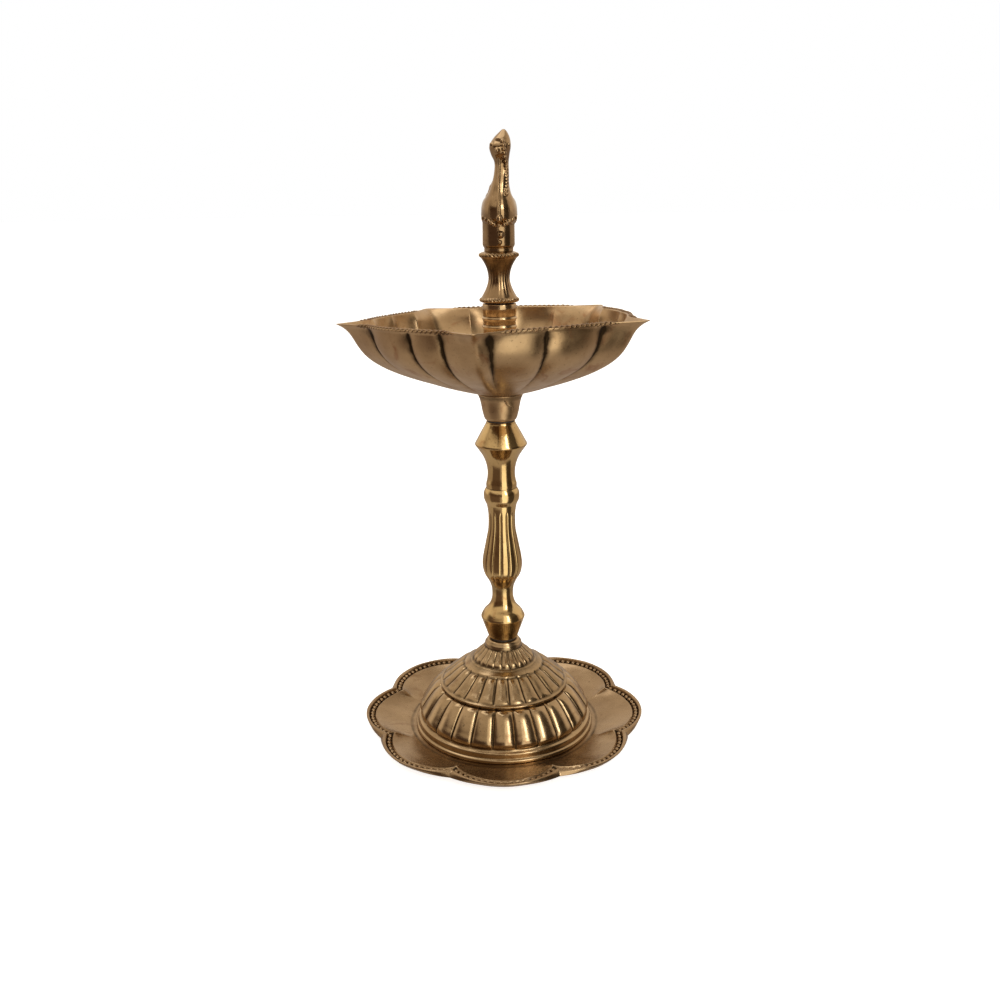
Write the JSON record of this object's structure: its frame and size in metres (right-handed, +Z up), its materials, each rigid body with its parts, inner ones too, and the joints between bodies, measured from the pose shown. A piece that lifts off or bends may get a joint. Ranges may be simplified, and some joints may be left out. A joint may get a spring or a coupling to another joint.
{
  "type": "standing oil lamp",
  "caption": "Standing brass oil lamp: scalloped tray, lobed dome, turned stem, spouted wick bowl and bird finial that unscrew from one another.",
  "frame": {"origin": "centre of the tray's resting face on the stem's axis", "axes": "+Z up along the stem; -Y is the front, the way the bird faces"},
  "size_m": [0.1536, 0.1515, 0.3033],
  "materials": {
    "tray_brass": "satin, worn",
    "dome_brass": "polished, worn",
    "stem_brass": "polished",
    "bowl_brass": "satin outside, bright inside",
    "finial_brass": "polished, worn",
    "screw_steel": "zinc plated",
    "screw_brass": "machined",
    "seal_fibre": "oil soaked"
  },
  "bodies": {
    "base": {"base_tray": "tray_brass", "base_dome": "dome_brass", "base_screw": "screw_steel", "base_nut": "screw_steel", "base_nut_washer": "screw_steel"},
    "base_seal": {"base_seal": "seal_fibre"},
    "stem": {"stem": "stem_brass"},
    "stem_seal": {"stem_seal": "seal_fibre"},
    "bowl": {"bowl": "bowl_brass", "bowl_collar": "bowl_brass", "bowl_screw": "screw_brass", "bowl_hub": "bowl_brass"},
    "finial_seal": {"finial_seal": "seal_fibre"},
    "finial": {"finial_pedestal": "finial_brass", "finial_screw": "screw_brass", "peacock": "finial_brass"}
  },
  "joints": [
    {"name": "stem_turn", "type": "hinge", "parent": "base", "child": "base_seal", "pos_m": [0, 0, 0.0491], "axis": [0, 0, 1], "range_deg": [0, 2160]},
    {"name": "stem_lift", "type": "slide", "parent": "base_seal", "child": "stem", "axis": [0, 0, 1], "range_m": [0, 0.012]},
    {"name": "bowl_turn", "type": "hinge", "parent": "stem", "child": "stem_seal", "pos_m": [0, 0, 0.1664], "axis": [0, 0, 1], "range_deg": [0, 2160]},
    {"name": "bowl_lift", "type": "slide", "parent": "stem_seal", "child": "bowl", "axis": [0, 0, 1], "range_m": [0, 0.012]},
    {"name": "finial_turn", "type": "hinge", "parent": "bowl", "child": "finial_seal", "pos_m": [0, 0, 0.2242], "axis": [0, 0, 1], "range_deg": [0, 2520]},
    {"name": "finial_lift", "type": "slide", "parent": "finial_seal", "child": "finial", "axis": [0, 0, 1], "range_m": [0, 0.0105]}
  ],
  "couplings": [
    {"joint": "stem_turn", "follows": "stem_lift", "rad_per_m": 3141.6},
    {"joint": "bowl_turn", "follows": "bowl_lift", "rad_per_m": 3141.6},
    {"joint": "finial_turn", "follows": "finial_lift", "rad_per_m": 4188.8}
  ]
}
